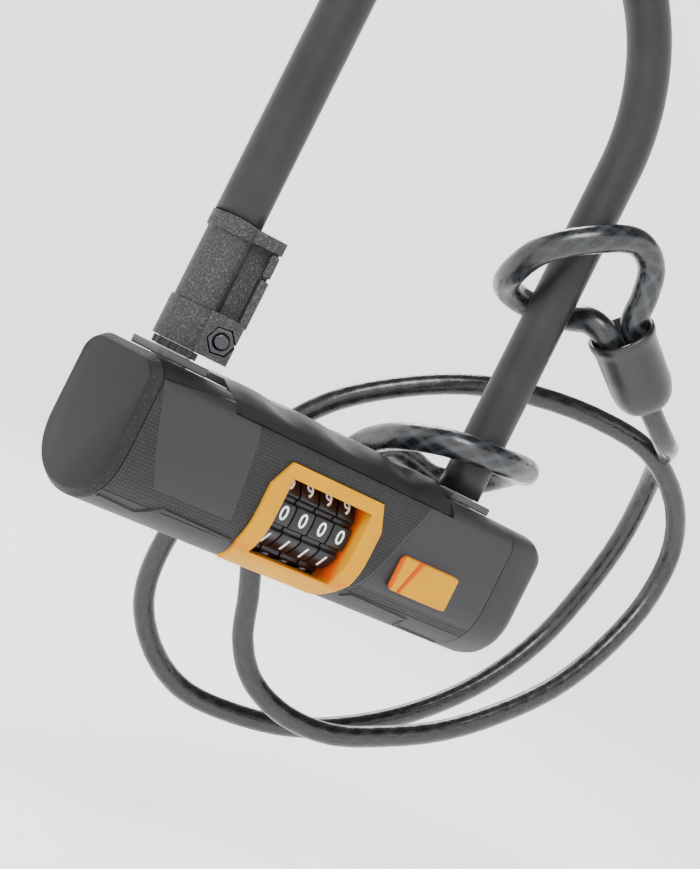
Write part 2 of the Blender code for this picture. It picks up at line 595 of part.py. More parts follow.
for tag, (mouth, tail), route in (("a", ferrule_a, loop_a_route), ("b", ferrule_b, loop_b_route)):
    ferrule(f"ferrule_{tag}", mouth, tail)
    pts = [socket(mouth, tail, -1, d * mm) for d in (9.7, 3.0, -1.0)] + route
    pts += [socket(mouth, tail, 1, d * mm) for d in (-1.0, 3.0, 9.7)]
    wire(f"cable_loop_{tag}", smooth(pts, 6 * mm), loop_r, (vinyl, 0.3))

ends = []
for mouth, tail in (ferrule_a, ferrule_b):
    m, t = Vector(mouth), Vector(tail)
    back = (t - m).normalized()
    ends.append([tuple(m + back * (ferrule_length / mm + d)) for d in (-8.7, 0.0, 4.0)])
wire("cable", smooth(ends[0] + cable_route + ends[1][::-1], 13 * mm), cable_r, (vinyl, 0.3))
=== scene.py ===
import bpy
import bmesh
import json
import math
import numpy as np
from mathutils import Matrix, Vector


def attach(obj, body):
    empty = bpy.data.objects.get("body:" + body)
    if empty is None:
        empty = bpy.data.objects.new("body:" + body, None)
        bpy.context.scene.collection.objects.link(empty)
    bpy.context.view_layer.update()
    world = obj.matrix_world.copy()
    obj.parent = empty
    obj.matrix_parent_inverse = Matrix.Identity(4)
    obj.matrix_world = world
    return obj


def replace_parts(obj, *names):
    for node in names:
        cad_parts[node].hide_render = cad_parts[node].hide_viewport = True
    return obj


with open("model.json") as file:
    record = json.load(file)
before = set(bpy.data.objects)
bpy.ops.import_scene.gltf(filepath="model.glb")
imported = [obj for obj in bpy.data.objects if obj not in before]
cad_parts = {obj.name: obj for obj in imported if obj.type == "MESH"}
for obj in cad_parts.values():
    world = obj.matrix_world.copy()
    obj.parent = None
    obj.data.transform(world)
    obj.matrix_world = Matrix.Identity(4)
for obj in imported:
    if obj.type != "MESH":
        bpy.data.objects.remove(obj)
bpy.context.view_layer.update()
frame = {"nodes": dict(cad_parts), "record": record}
nodes = frame["nodes"]
mm = 0.001


# Camera: low beside the left end of the crossbar, rolled so that the shackle leans to the right.
view = {"place": (-0.3905, -0.4582, -0.0023), "heading": 41.22, "roll": 26.56, "lens": 92.57}


def placeCamera(v):
    data = bpy.data.cameras.new("camera")
    data.sensor_fit = "HORIZONTAL"
    data.sensor_width = 36
    data.lens = v["lens"]
    data.clip_start, data.clip_end = 0.02, 20
    cam = bpy.data.objects.new("camera", data)
    bpy.context.scene.collection.objects.link(cam)
    a, b = math.radians(v["heading"]), math.radians(v["roll"])
    ahead = Vector((math.sin(a), math.cos(a), 0))
    side = Vector((math.cos(a), -math.sin(a), 0))
    right = side * math.cos(b) + Vector((0, 0, math.sin(b)))
    up = right.cross(ahead)
    m = Matrix((right, up, -ahead)).transposed().to_4x4()
    m.translation = Vector(v["place"])
    cam.matrix_world = m
    bpy.context.scene.camera = cam


placeCamera(view)


# Shader maths
class Val:  # one socket that carries a number
    def __init__(self, tree, socket):
        self.tree, self.socket = tree, socket

    def op(self, kind, *others):
        n = self.tree.nodes.new("ShaderNodeMath")
        n.operation = kind
        for i, x in enumerate((self,) + others):
            if isinstance(x, Val):
                self.tree.links.new(x.socket, n.inputs[i])
            else:
                n.inputs[i].default_value = x
        return Val(self.tree, n.outputs[0])

    def flip(self, kind, other):
        n = self.tree.nodes.new("ShaderNodeMath")
        n.operation = kind
        n.inputs[0].default_value = other
        self.tree.links.new(self.socket, n.inputs[1])
        return Val(self.tree, n.outputs[0])

    def __add__(self, o):
        return self.op("ADD", o)

    def __radd__(self, o):
        return self.flip("ADD", o)

    def __sub__(self, o):
        return self.op("SUBTRACT", o)

    def __rsub__(self, o):
        return self.flip("SUBTRACT", o)

    def __mul__(self, o):
        return self.op("MULTIPLY", o)

    def __rmul__(self, o):
        return self.flip("MULTIPLY", o)

    def __truediv__(self, o):
        return self.op("DIVIDE", o)

    def most(self, o):
        return self.op("MAXIMUM", o)

    def size(self):
        return self.op("ABSOLUTE")

    def wave(self):
        return self.op("SINE")

    def ramp(self, lo, hi):  # 0 below lo, 1 above hi, soft between
        n = self.tree.nodes.new("ShaderNodeMapRange")
        n.interpolation_type = "SMOOTHSTEP"
        self.tree.links.new(self.socket, n.inputs["Value"])
        n.inputs["From Min"].default_value = lo
        n.inputs["From Max"].default_value = hi
        return Val(self.tree, n.outputs["Result"])


class Finish:  # a material with its shader
    def __init__(self, name, colour, rough, metal=0.0, **fixed):
        self.mat = bpy.data.materials.new(name)
        self.mat.use_nodes = True
        self.tree = self.mat.node_tree
        self.shader = self.tree.nodes["Principled BSDF"]
        self.set(Base_Color=(*colour, 1), Roughness=rough, Metallic=metal, **fixed)

    def set(self, **values):
        for key, v in values.items():
            s = self.shader.inputs[key.replace("_", " ")]
            if isinstance(v, Val):
                self.tree.links.new(v.socket, s)
            else:
                s.default_value = v
        return self

    def node(self, kind, settings=None, **sockets):
        n = self.tree.nodes.new(kind)
        for key, v in (settings or {}).items():
            setattr(n, key, v)
        for key, v in sockets.items():
            s = n.inputs[key.replace("_", " ")]
            if isinstance(v, Val):
                self.tree.links.new(v.socket, s)
            else:
                s.default_value = v
        return n

    def out(self, n, name):
        return Val(self.tree, n.outputs[name])

    def place(self):  # x, y and z in millimetres
        at = self.out(self.node("ShaderNodeTexCoord"), "Object")
        n = self.node("ShaderNodeSeparateXYZ", Vector=at)
        return [self.out(n, k) * 1000 for k in "XYZ"]

    def along(self):  # distance along a cable in millimetres, and turns round it
        at = self.out(self.node("ShaderNodeTexCoord"), "UV")
        n = self.node("ShaderNodeSeparateXYZ", Vector=at)
        return self.out(n, "X") * 1000, self.out(n, "Y")

    def noise(self, scale, detail=3.0):
        at = self.out(self.node("ShaderNodeTexCoord"), "Object")
        return self.out(self.node("ShaderNodeTexNoise", Vector=at, Scale=scale, Detail=detail), "Fac")

    def blendColours(self, factor, a, b):
        n = self.node("ShaderNodeMix", {"data_type": "RGBA"})
        self.tree.links.new(factor.socket, n.inputs[0])
        for i, c in ((6, a), (7, b)):
            if isinstance(c, Val):
                self.tree.links.new(c.socket, n.inputs[i])
            else:
                n.inputs[i].default_value = (*c, 1)
        return Val(self.tree, n.outputs[2])

    def relief(self, height, depth, strength=1.0):
        n = self.node("ShaderNodeBump", Height=height, Strength=strength, Distance=depth)
        return self.set(Normal=self.out(n, "Normal"))


# Finishes
def rightOf(x, z, a, b, soft=0.25):  # 1 on the right of the line from a to b, in millimetres
    dx, dz = b[0] - a[0], b[1] - a[1]
    length = math.hypot(dx, dz)
    return ((x - a[0]) * (dz / length) - (z - a[1]) * (dx / length)).ramp(-soft, soft)


def inside(x, z, corners, soft=0.25):  # 1 inside a convex outline that runs anticlockwise
    mask = None
    for a, b in zip(corners, corners[1:] + corners[:1]):
        m = 1 - rightOf(x, z, a, b, soft)
        mask = m if mask is None else mask * m
    return mask


def mouldedBlack(name, colour=(0.008, 0.008, 0.009), rough=0.5, grain=2600, depth=0.00006, gloss=0.3):
    f = Finish(name, colour, rough, Specular_IOR_Level=gloss)
    fine, broad = f.noise(grain, 4), f.noise(90, 3)
    f.set(Base_Color=f.blendColours(broad.ramp(0.3, 0.7), colour, tuple(c * 1.35 for c in colour)))
    f.set(Roughness=broad * 0.12 + (rough - 0.06))
    return f.relief(fine, depth, 0.6)


shellPlan = {
    # "seam" sets how much lighter the seam is painted, a painted highlight
    "dotPitch": 1.15, "railZ": -50.4, "seam": 3.0, "seamWidth": 1.2,
    "seamLine": ((26.6, -45.1), (39.8, -13.8)),
    "badge": [(-83, -12), (-73.6, -34.7), (-68.4, -43.4), (-30.8, -43), (-40.6, -16.3), (-42, -8)],
}


def shellFinish(name):
    p = shellPlan
    f = Finish(name, (0.008, 0.008, 0.009), 0.46, Specular_IOR_Level=0.32)
    x, y, z = f.place()
    front = 1 - y.ramp(-14, -11)
    low, high = p["seamLine"]
    lowRight, highRight = ((a + p["seamWidth"], b) for a, b in (low, high))
    badge = inside(x, z, p["badge"])
    slide = rightOf(x, z, low, high)
    flank = z.ramp(-56, -45) * (1 - z.ramp(-15, -11))
    smoothArea = badge.most(slide * z.ramp(-47, -44.5))
    dots = (x * (math.pi / p["dotPitch"])).wave() * (z * (math.pi / p["dotPitch"])).wave()
    dotted = dots.size().ramp(0.45, 0.85) * (1 - smoothArea) * front * flank
    seam = (rightOf(x, z, low, high, 0.15) - rightOf(x, z, lowRight, highRight, 0.15)) * front
    rail = (1 - ((z - p["railZ"]).size()).ramp(0.25, 0.6)) * front
    height = smoothArea * 0.55 * front + dotted * 0.5 - seam * 0.7 - rail * 0.8
    fine, broad = f.noise(2400, 4), f.noise(60, 3)
    # painted highlight: the smooth panels, the dots and the seam are painted lighter in place of the light
    # they catch
    lit = smoothArea * front * 0.55 + dotted * 1.0 + seam * p["seam"]
    f.set(Base_Color=f.blendColours(lit, (0.006, 0.0065, 0.0075), (0.022, 0.022, 0.024)))
    f.set(Roughness=0.5 - smoothArea * 0.1 + broad * 0.1)
    return f.relief(height + fine * 0.06, 0.0011, 1.0)


def endFinish(name):  # a smooth matt end face inside a grainy, worn bevel
    f = Finish(name, (0.006, 0.006, 0.007), 0.6, Specular_IOR_Level=0.25)
    x, y, z = f.place()
    band = x.ramp(-86.3, -85.9)  # the bevel starts just inside the flat end
    fleck = f.noise(2000, 5).ramp(0.48, 0.75) * band
    f.set(Base_Color=f.blendColours(fleck, (0.006, 0.006, 0.007), (0.03, 0.03, 0.032)))
    f.set(Roughness=0.62 - fleck * 0.2)
    return f.relief(f.noise(3000, 3) * 0.3 + fleck, 0.00015, 0.8)


def grainyBlack(name):  # coarse spark texture with pale flecks
    f = Finish(name, (0.01, 0.01, 0.011), 0.5, Specular_IOR_Level=0.5)
    grain, broad = f.noise(2100, 5), f.noise(50, 2)
    fleck = grain.ramp(0.5, 0.68)
    f.set(Base_Color=f.blendColours(fleck, (0.006, 0.006, 0.0065), (0.07, 0.07, 0.073)))
    f.set(Roughness=0.5 - fleck * 0.16 + broad * 0.06)
    return f.relief(grain, 0.0005, 0.9)


orangePlan = {  # millimetres
    # the ranges below mark where the frame and the button are painted a deeper orange as painted shade
    "wallY": (-21.2, -17.0), "wallZ": (-52, -48), "frameEnd": (20, 30), "buttonStart": (30, 31),
    "grooveLeft": ((41.0, -43.4), (45.6, -30.4)), "grooveRight": ((42.4, -43.4), (47.8, -30.4)),
    "leftSide": (37.3, 37.9), "sunk": (-23.3, -22.6),
}


def orangeFinish(name):
    p = orangePlan
    f = Finish(name, (1.0, 0.3, 0.0), 0.45, Specular_IOR_Level=0.08)
    x, y, z = f.place()
    broad, fine = f.noise(70, 3), f.noise(1800, 3)
    # painted shade: the frame's inner walls, behind its front face, are painted a deeper orange
    paintedShade = y.ramp(*p["wallY"]) * z.ramp(*p["wallZ"]) * (1 - x.ramp(*p["frameEnd"]))  # the frame's inner walls
    band = rightOf(x, z, *p["grooveLeft"], 0.2) - rightOf(x, z, *p["grooveRight"], 0.3)
    side = (1 - x.ramp(*p["leftSide"])).most(y.ramp(*p["sunk"]))
    # painted shade: on the button, the groove's shaded wall, its left side and the sunk surfaces behind its
    # face get the same deeper orange
    paintedShade = paintedShade.most(x.ramp(*p["buttonStart"]) * band.most(side) * 0.9)  # the groove and left side
    tint = f.blendColours(broad.ramp(0.3, 0.7), (0.54, 0.25, 0.0), (0.5, 0.225, 0.0))
    # the deeper orange laid over the tint is painted shade
    f.set(Base_Color=f.blendColours(paintedShade, tint, (0.5, 0.06, 0.0)), Roughness=broad * 0.1 + 0.4)
    return f.relief(fine, 0.00004, 0.4)


def bareSteel(name, colour=(0.6, 0.6, 0.62), rough=0.28):
    f = Finish(name, colour, rough, 1.0)
    broad, fine = f.noise(120, 4), f.noise(1500, 2)
    f.set(Roughness=broad * 0.18 + (rough - 0.08))
    f.set(Base_Color=f.blendColours(broad.ramp(0.35, 0.7), colour, tuple(c * 0.8 for c in colour)))
    return f.relief(fine, 0.00003, 0.4)


def castZinc(name):
    f = Finish(name, (0.4, 0.4, 0.41), 0.5, 0.85)
    broad, fine = f.noise(200, 4), f.noise(1300, 3)
    f.set(Roughness=broad * 0.2 + 0.4)
    return f.relief(fine, 0.00008, 0.7)


def rodVinyl(name):
    f = Finish(name, (0.012, 0.0125, 0.0135), 0.42, Specular_IOR_Level=0.3)
    broad, fine = f.noise(45, 4), f.noise(2200, 3)
    f.set(Base_Color=f.blendColours(broad.ramp(0.3, 0.75), (0.009, 0.0095, 0.0105), (0.015, 0.0155, 0.017)))
    f.set(Roughness=broad * 0.16 + 0.34)
    return f.relief(fine, 0.00005, 0.5)


braidPlan = {"lead": 9.0, "strands": 5, "depth": 0.00028}


# the weave's lighter colour is partly the steel's lay seen through the vinyl and partly a painted highlight
# on its strands
def braidedVinyl(name, shade, layAndHighlightGain):  # smoke vinyl with the steel's lay seen through it
    p = braidPlan
    f = Finish(name, shade, 0.3, Coat_Weight=0.35, Coat_Roughness=0.18, Specular_IOR_Level=0.35)
    run, turn = f.along()
    onward, around = run * (2 * math.pi / p["lead"]), turn * (2 * math.pi * p["strands"])
    one, two = (onward + around).wave(), (onward - around).wave()
    weave = one.ramp(-0.2, 0.9) * 0.6 + two.ramp(0.1, 0.95) * 0.4
    broad = f.noise(40, 3)
    # painted highlight on top of the real lay: the weave strands are painted lighter
    layAndHighlight = tuple(c * layAndHighlightGain for c in shade)
    f.set(Base_Color=f.blendColours(weave * broad.ramp(0.25, 0.8), shade, layAndHighlight))
    f.set(Roughness=0.26 + weave * 0.16)
    return f.relief(weave, p["depth"], 0.25)


finishes = {
    "shell": shellFinish("shellPlastic"),
    "shellRear": mouldedBlack("shellRear", (0.009, 0.009, 0.01), 0.5),
    "cap": mouldedBlack("capPlastic", (0.01, 0.01, 0.011), 0.46),
    "capEnd": endFinish("capEnd"),
    "collar": mouldedBlack("collarPlastic", (0.03, 0.03, 0.032), 0.4, 2000, 0.00006, 0.5),
    "bracket": grainyBlack("bracketPlastic"),
    "saddle": mouldedBlack("saddleRubber", (0.008, 0.008, 0.009), 0.4, 900, 0.0001, 0.4),
    "dial": mouldedBlack("dialPlastic", (0.005, 0.005, 0.006), 0.3, 2600, 0.00002, 0.35),
    "orange": orangeFinish("frameOrange"),
    "steel": bareSteel("bareSteel"),
    "darkSteel": bareSteel("blackenedSteel", (0.06, 0.06, 0.065), 0.36),
    "zinc": castZinc("castZinc"),
    "rod": rodVinyl("rodVinyl"),
    "ferrule": mouldedBlack("ferruleVinyl", (0.007, 0.007, 0.008), 0.3, 2000, 0.00003, 0.5),
    # the loops' weave is painted much lighter than the free cable's, a painted highlight
    "cable": braidedVinyl("cableVinyl", (0.009, 0.0095, 0.011), 2.2),
    "loop": braidedVinyl("loopVinyl", (0.008, 0.009, 0.01), 6.0),
}
white = Finish("numberWhite", (0.85, 0.85, 0.84), 0.4)
white.set(Roughness=white.noise(300) * 0.15 + 0.33)
finishes["number"] = white
print("finishes made")


def dress(obj, finish):
    obj.data.materials.clear()
    obj.data.materials.append(finishes[finish].mat)
    return obj


def build(name, data, finish, body):
    o = bpy.data.objects.new(name, data)
    bpy.context.scene.collection.objects.link(o)
    dress(o, finish)
    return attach(o, body)


# Cables
cable = {
    "radius": 4.2 * mm, "loopRadius": 5.0 * mm, "strandGap": 5.2, "sides": 24,
    "step": 2 * mm, "loopStep": 1.5 * mm,
    "loopDepths": (9.7, 3.0, -1.0), "endDepths": (24.3, 33.0, 37.0),  # from a ferrule's mouth
}
ferrule = {
    "sides": 64,
    "profile": [(10.7, 10), (10.7, 0.6), (11.2, 0.0), (12.1, 0.0), (12.6, 0.6), (12.6, 2.3), (12.2, 3.6),
                (11.8, 6), (11.7, 14), (11.6, 23), (11.1, 26.5), (10.2, 29.3), (8.6, 31.6), (7.0, 32.7),
                (5.0, 33), (4.5, 32.6), (4.5, 24), (0.001, 24), (0.001, 10)],
}
ferrules = {"a": ((48.0, 36.5, -14.0), (42.0, 50.0, -43.5)), "b": ((95.0, -12.5, 75.0), (122.3, -16.6, 56.9))}
loopRoutes = {  # millimetres, from one socket round to the other
    "a": [(45, 30, -3), (43, 20, 2), (42, 8, 6), (46, -6, 10), (54, -14, 12), (66, -17, 13), (80, -13, 14),
          (91, -5, 14), (98, 6, 13), (102, 18, 8), (100, 29, 1), (90, 36, -3), (78, 38, -1), (67, 38, 0),
          (58, 37, -3)],
    "b": [(87, -4, 74), (85, 5, 72), (75, 16, 70), (61, 16, 71), (51, 6, 76), (48, -6, 86), (60, -17, 98),
          (75, -19, 104), (87, -19, 100), (92, -18, 90)],
}
cableRoute = [
    (42, 55, -56), (50, 55, -74), (57, 55, -90), (66, 51, -102), (80, 43, -109), (98, 33, -109),
    (117, 24, -101), (136, 16, -90), (156, 10, -74), (176, 7, -55), (193, 7, -32), (204, 8, -8), (205, 9, 15),
    (189, 7, 33), (165, 10, 45), (144, 20, 47), (120, 34, 44), (97, 48, 36), (75, 61, 22), (57, 72, 5),
    (43, 80, -18), (34, 87, -44), (31, 92, -70), (35, 93, -94), (47, 89, -111), (64, 83, -121),
    (86, 74, -122), (110, 63, -117), (134, 54, -105), (157, 47, -88), (178, 43, -67),
    (194, 41, -43), (202, 38, -15), (202, 33, 10), (194, 26, 32), (182, 17, 44), (161, -2, 48),
    (141, -16, 48),
]


def smoothRun(points, step):
    p = np.array(points, float) * mm
    p = np.vstack([2 * p[0] - p[1], p, 2 * p[-1] - p[-2]])
    out = []
    for a, b, c, d in zip(p, p[1:], p[2:], p[3:]):
        t = np.cumsum([0] + [np.linalg.norm(v) ** 0.5 for v in (b - a, c - b, d - c)])
        for x in np.linspace(t[1], t[2], 40, endpoint=False):
            u = [(t[i + 1] - x) / (t[i + 1] - t[i]) for i in range(3)]
            l1, l2, l3 = (u[i] * q + (1 - u[i]) * r for i, (q, r) in enumerate(((a, b), (b, c), (c, d))))
            w1, w2 = (t[2] - x) / (t[2] - t[0]), (t[3] - x) / (t[3] - t[1])
            m1, m2 = w1 * l1 + (1 - w1) * l2, w2 * l2 + (1 - w2) * l3
            out.append(u[1] * m1 + (1 - u[1]) * m2)
    out = np.array(out + [p[-2]])
    run = np.r_[0, np.cumsum(np.linalg.norm(np.diff(out, axis=0), axis=1))]
    n = max(2, round(run[-1] / step))
    even = np.linspace(0, run[-1], n + 1)
    line = np.column_stack([np.interp(even, run, out[:, k]) for k in range(3)])
    for _ in range(3):  # eases the knots, ends held
        line[1:-1] = (line[:-2] + 2 * line[1:-1] + line[2:]) / 4
    return [Vector(q) for q in line]


def hose(name, line, radius, sides):
    bm = bmesh.new()
    uv = bm.loops.layers.uv.new("lay")
    first = (line[1] - line[0]).normalized()
    across = Vector((0, 0, 1)) if abs(first.z) < 0.8 else Vector((1, 0, 0))
    rings, run, far = [], [0.0], 0.0
    for i, p in enumerate(line):
        ahead = (line[min(i + 1, len(line) - 1)] - line[max(i - 1, 0)]).normalized()
        across = (across - ahead * across.dot(ahead)).normalized()
        other = ahead.cross(across)
        turns = [2 * math.pi * k / sides for k in range(sides)]
        rings.append([bm.verts.new(p + (across * math.cos(t) + other * math.sin(t)) * radius) for t in turns])
        if i:
            far += (p - line[i - 1]).length
            run.append(far)
    for i in range(len(rings) - 1):
        for k in range(sides):
            j = (k + 1) % sides
            f = bm.faces.new((rings[i][k], rings[i][j], rings[i + 1][j], rings[i + 1][k]))
            f.smooth = True
            corners = ((run[i], k), (run[i], k + 1), (run[i + 1], k + 1), (run[i + 1], k))
            for loop, (s, t) in zip(f.loops, corners):
                loop[uv].uv = (s, t / sides)
    bm.faces.new(list(reversed(rings[0])))
    bm.faces.new(rings[-1])
    bmesh.ops.recalc_face_normals(bm, faces=bm.faces)
    me = bpy.data.meshes.new(name)
    bm.to_mesh(me)
    bm.free()
    return me


def inSocket(mouth, tail, side, depth):
    m, t = Vector(mouth), Vector(tail)
    back = (t - m).normalized()
    across = back.cross(Vector((0, 1, 0.6)).normalized()).normalized()
    return tuple(m + back * depth + across * side * cable["strandGap"])


def measure(line):
    return sum((b - a).length for a, b in zip(line, line[1:]))


def layCables(c):
    pieces = {}
    for tag, (mouth, tail) in ferrules.items():
        points = [inSocket(mouth, tail, -1, d) for d in c["loopDepths"]] + loopRoutes[tag]
        points += [inSocket(mouth, tail, 1, d) for d in reversed(c["loopDepths"])]
        line = smoothRun(points, c["loopStep"])
        o = build(f"loop_{tag}", hose(f"loop_{tag}", line, c["loopRadius"], c["sides"]), "loop", "shackle")
        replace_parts(o, f"cable_loop_{tag}")
        pieces[f"loop_{tag}"] = (o, line, 2 * c["loopRadius"])
    ends = []
    for mouth, tail in ferrules.values():
        m, t = Vector(mouth), Vector(tail)
        back = (t - m).normalized()
        ends.append([tuple(m + back * d) for d in c["endDepths"]])
    line = smoothRun(ends[0] + cableRoute + ends[1][::-1], c["step"])
    o = build("free_cable", hose("free_cable", line, c["radius"], c["sides"]), "cable", "shackle")
    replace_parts(o, "cable")
    pieces["free_cable"] = (o, line, 2 * c["radius"])
    return pieces


def turnedFerrule(tag, mouth, tail):
    n = ferrule["sides"]
    turns = [2 * math.pi * k / n for k in range(n)]
    bm = bmesh.new()
    rings = []
    for r, z in ferrule["profile"]:
        rings.append([bm.verts.new((r * mm * math.cos(t), r * mm * math.sin(t), z * mm)) for t in turns])
    for a, b in zip(rings, rings[1:] + rings[:1]):
        for k in range(n):
            f = bm.faces.new((a[k], a[(k + 1) % n], b[(k + 1) % n], b[k]))
            f.smooth = True
    bmesh.ops.recalc_face_normals(bm, faces=bm.faces)
    back = (Vector(tail) - Vector(mouth)).normalized()
    bm.transform(Matrix.Translation(Vector(mouth) * mm) @ back.to_track_quat("Z", "Y").to_matrix().to_4x4())
    me = bpy.data.meshes.new(f"sleeve_{tag}")
    bm.to_mesh(me)
    bm.free()
    o = build(f"sleeve_{tag}", me, "ferrule", "shackle")
    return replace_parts(o, f"ferrule_{tag}")


laid = layCables(cable)
sleeves = {tag: turnedFerrule(tag, *ends) for tag, ends in ferrules.items()}
for tag in "ab":
    o, line, d = laid[f"loop_{tag}"]
    measure(line)
o, line, d = laid["free_cable"]
measure(line)
print("cables laid", {k: round(measure(v[1]), 3) for k, v in laid.items()})


# Shackle
def refined(node, finish, body, width=0.4 * mm, segments=3, angle=35):  # the node's shape with eased edges
    me = nodes[node].data.copy()
    o = build(f"{node}_fine", me, finish, body)
    bm = bmesh.new()
    bm.from_mesh(me)
    bmesh.ops.remove_doubles(bm, verts=bm.verts, dist=0.00001)
    bmesh.ops.dissolve_limit(bm, angle_limit=math.radians(1), verts=bm.verts, edges=bm.edges)
    bm.to_mesh(me)
    bm.free()
    me.shade_smooth()
    if width:
        b = o.modifiers.new("ease", "BEVEL")
        b.width = width
        b.segments = segments
        b.limit_method = "ANGLE"
        b.angle_limit = math.radians(angle)
        b.harden_normals = True
    else:
        me.set_sharp_from_angle(angle=math.radians(angle))
    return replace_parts(o, node)


shackle = {
    "legX": 69.6 * mm, "bendStart": 126 * mm, "radius": 8.0 * mm, "bottom": -3.7 * mm,
    "bracketTop": 41.8 * mm, "sides": 48,
}


def shackleSleeve(s):
    arc = [math.pi * i / 96 for i in range(97)]
    line = [Vector((-s["legX"], 0, z)) for z in np.linspace(s["bracketTop"], s["bendStart"], 12)[:-1]]
    line += [Vector((-s["legX"] * math.cos(t), 0, s["bendStart"] + s["legX"] * math.sin(t))) for t in arc]
    line += [Vector((s["legX"], 0, z)) for z in np.linspace(s["bendStart"], s["bottom"], 16)[1:]]
    o = build("shackle_skin", hose("shackle_skin", line, s["radius"], s["sides"]), "rod", "shackle")
    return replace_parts(o, "shackle_sleeve")


shackleSleeve(shackle)
print("shackle made")


# Dials
dials = {  # millimetres; "bold" is a share of a figure's height
    "x": -3.0, "y": -2.9, "z": -34.5, "radius": 16.5, "pitch": 8.8, "edge": 0.35, "figure": 6.9,
    "raised": 0.05, "bold": 0.008,
}


def figure(text, size):
    cu = bpy.data.curves.new("figure", "FONT")
    cu.body = text
    cu.size = size
    cu.align_x, cu.align_y = "CENTER", "CENTER"
    cu.offset = size * dials["bold"]
    cu.extrude = dials["raised"] * mm
    o = bpy.data.objects.new("figure", cu)
    bpy.context.scene.collection.objects.link(o)
    bpy.context.view_layer.update()
    me = bpy.data.meshes.new_from_object(o.evaluated_get(bpy.context.evaluated_depsgraph_get()))
    bpy.data.objects.remove(o)
    bpy.data.curves.remove(cu)
    return me


def numberWheels(d):
    shapes = [figure(str(k), d["figure"] * mm) for k in range(10)]
    for i in range(4):
        bm = bmesh.new()
        x = d["x"] + (i - 1.5) * d["pitch"]
        for k, shape in enumerate(shapes):
            a = math.radians(180 + 36 * k)
            out = Vector((0, math.cos(a), math.sin(a)))
            up = Vector((0, math.sin(a), -math.cos(a)))
            m = Matrix((Vector((1, 0, 0)), up, out)).transposed().to_4x4()
            m.translation = Vector((x, d["y"], d["z"])) * mm + out * (d["radius"] * mm)
            part = shape.copy()
            part.transform(m)
            bm.from_mesh(part)
            bpy.data.meshes.remove(part)
        me = bpy.data.meshes.new(f"numbers_{i + 1}")
        bm.to_mesh(me)
        bm.free()
        build(f"numbers_{i + 1}", me, "number", f"wheel_{i + 1}")
        refined(f"dial_{i + 1}", "dial", f"wheel_{i + 1}", d["edge"] * mm, 3, 25)
    for shape in shapes:
        bpy.data.meshes.remove(shape)


numberWheels(dials)
print("dials made")


# Crossbar, bracket and the rest
bodyOf = {n: b for b, members in frame["record"]["behaviour"]["bodies"].items() for n in members}
eased = {  # node: finish, edge width in millimetres
    "front_cover": ("shell", 0.0), "rear_shell": ("shellRear", 0.0),
    "end_cap_left": ("capEnd", 0.0), "end_cap_right": ("cap", 0.0), "saddle": ("saddle", 0.0),
    "collar_left": ("collar", 0.5), "collar_right": ("collar", 0.5), "dial_frame": ("orange", 0.45),
    "leg_ring": ("saddle", 0.2), "bracket_sleeve": ("bracket", 0.45),
    "bracket_latch": ("bracket", 0.6), "bracket_nut": ("darkSteel", 0.45), "bracket_bolt": ("darkSteel", 0.8),
}
for node, (finish, width) in eased.items():
    refined(node, finish, bodyOf[node], width * mm)
plain = {  # finish: nodes shown as they are
    "steel": ["shackle_core", "spindle", "lock_bolt_right", "lock_bolt_left", "pinion_pin", "rear_screw_left",
              "rear_screw_right", "detent_comb"],
    "zinc": ["dial_chassis", "lock_block_left", "lock_block_right", "slider_link", "reversing_pinion"]
    + [f"clutch_{i}" for i in range(1, 5)],
}
for finish, names in plain.items():
    for node in names:
        dress(nodes[node], finish)


button = {  # millimetres
    "x": (36.8, 66.0), "z": (-43.4, -30.4), "base": -22.3, "rise": 1.7, "corner": 2.4, "edge": 0.8,
    "groove": 1.5, "grooveStart": 4.6, "grooveSides": (1.5, 2.2), "slant": 0.36,
    "step": 0.3, "stepHeight": 2.0, "stepStart": 7, "stepEnd": 2.2,
}


def buttonRise(b, x, z):
    far = min(x - b["x"][0], b["x"][1] - x, z - b["z"][0], b["z"][1] - z)
    edge = min(max(far, 0) / b["edge"], 1)
    rise = b["rise"] * math.sqrt(1 - (1 - edge) ** 2)
    s = x - (b["x"][0] + b["grooveStart"] + (z - b["z"][0]) * b["slant"])  # past the groove
    left, right = b["grooveSides"]
    dip = b["groove"] * (1 + s / left if -left < s <= 0 else 1 - s / right if 0 < s < right else 0)
    stepped = z < b["z"][0] + b["stepHeight"] and b["x"][0] + b["stepStart"] < x < b["x"][1] - b["stepEnd"]
    return rise - (dip + (b["step"] if stepped else 0)) * edge


